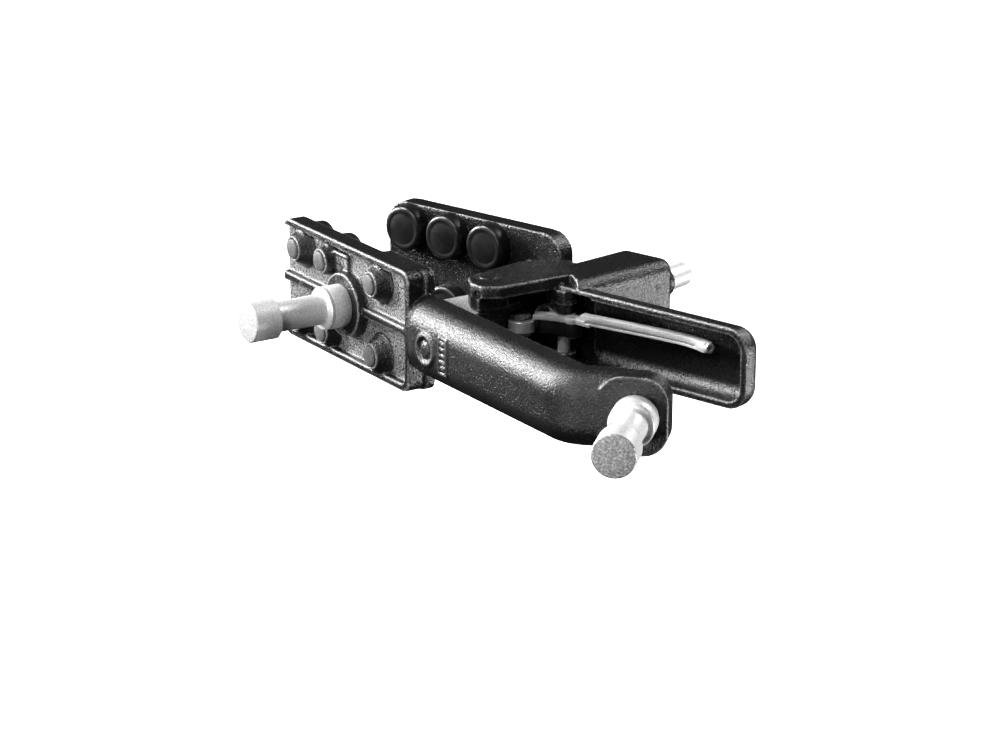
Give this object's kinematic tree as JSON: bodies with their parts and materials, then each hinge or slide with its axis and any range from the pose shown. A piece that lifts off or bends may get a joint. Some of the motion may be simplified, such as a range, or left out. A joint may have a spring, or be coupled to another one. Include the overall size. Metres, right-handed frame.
{
  "type": "spring pipe clamp",
  "caption": "Hand-squeezed spring pipe clamp with two padded jaws on one pivot, two hollow handles, a lock lever and grooved 16 mm mounting studs.",
  "frame": {"origin": "on the axis of the gripped tube, at the clamp's mid height", "axes": "+Z along the gripped tube, +X from the fixed jaw to the moving jaw, -Y towards the handles"},
  "size_m": [0.1629, 0.2527, 0.048],
  "materials": {
    "fixed_jaw": "black powder coat over a fine cast texture, semi-gloss",
    "fixed_pads": "black moulded rubber, matt",
    "plate_stud": "turned and tumbled bare aluminium, fine grain",
    "plate_stud_screw": "bright zinc plated steel",
    "arm_stud": "turned and tumbled bare aluminium, fine grain",
    "arm_stud_screw": "bright zinc plated steel",
    "tongue_bush": "sintered bronze",
    "nose_roller": "bright zinc plated steel",
    "nose_roller_pin": "bright zinc plated steel",
    "spring_anchor": "bright zinc plated steel",
    "moving_jaw": "black powder coat over a fine cast texture, semi-gloss",
    "moving_pads": "black moulded rubber, matt",
    "jaw_pin": "turned and tumbled bare aluminium, fine grain",
    "jaw_pin_screw": "bright zinc plated steel",
    "pivot_pin": "blackened steel",
    "pivot_screw": "blackened steel",
    "pivot_clip": "bright zinc plated steel",
    "return_spring": "bright zinc plated steel",
    "lock_pin": "bright zinc plated steel",
    "lock_spacer": "blackened steel",
    "lock_clip": "blackened spring steel",
    "lock_lever": "bright zinc plated steel",
    "lock_cam": "hardened and blackened",
    "lock_rivets": "bright zinc plated steel",
    "lock_spring": "bright zinc plated steel"
  },
  "bodies": {
    "fixed_body": {"fixed_jaw": "fixed_jaw", "fixed_pads": "fixed_pads", "plate_stud": "plate_stud", "plate_stud_screw": "plate_stud_screw", "arm_stud": "arm_stud", "arm_stud_screw": "arm_stud_screw", "tongue_bush": "tongue_bush", "nose_roller_pin": "nose_roller_pin", "spring_anchor": "spring_anchor"},
    "moving_body": {"moving_jaw": "moving_jaw", "moving_pads": "moving_pads", "jaw_pin": "jaw_pin", "jaw_pin_screw": "jaw_pin_screw", "pivot_pin": "pivot_pin", "pivot_screw": "pivot_screw", "pivot_clip": "pivot_clip", "return_spring": "return_spring", "lock_pin": "lock_pin", "lock_spacer": "lock_spacer", "lock_clip": "lock_clip", "lock_spring": "lock_spring"},
    "lock_body": {"lock_lever": "lock_lever", "lock_cam": "lock_cam", "lock_rivets": "lock_rivets"},
    "roller_body": {"nose_roller": "nose_roller"}
  },
  "joints": [
    {"name": "jaw_swing", "type": "hinge", "parent": "fixed_body", "child": "moving_body", "pos_m": [-0.002, -0.052, 0], "axis": [0, 0, 1], "range_deg": [-24, 2], "stiffness_Nm_per_rad": 1.2, "springref_deg": 14.32, "deforming": ["return_spring"]},
    {"name": "lock_swing", "type": "hinge", "parent": "moving_body", "child": "lock_body", "pos_m": [0.0223, -0.0674, 0], "axis": [0, 0, 1], "range_deg": [-20, 0], "stiffness_Nm_per_rad": 0.05, "springref_deg": 5.73, "deforming": ["lock_spring"]},
    {"name": "roller_spin", "type": "hinge", "parent": "fixed_body", "child": "roller_body", "pos_m": [0.0082, -0.0595, 0], "axis": [0, 0, 1], "continuous": true}
  ]
}
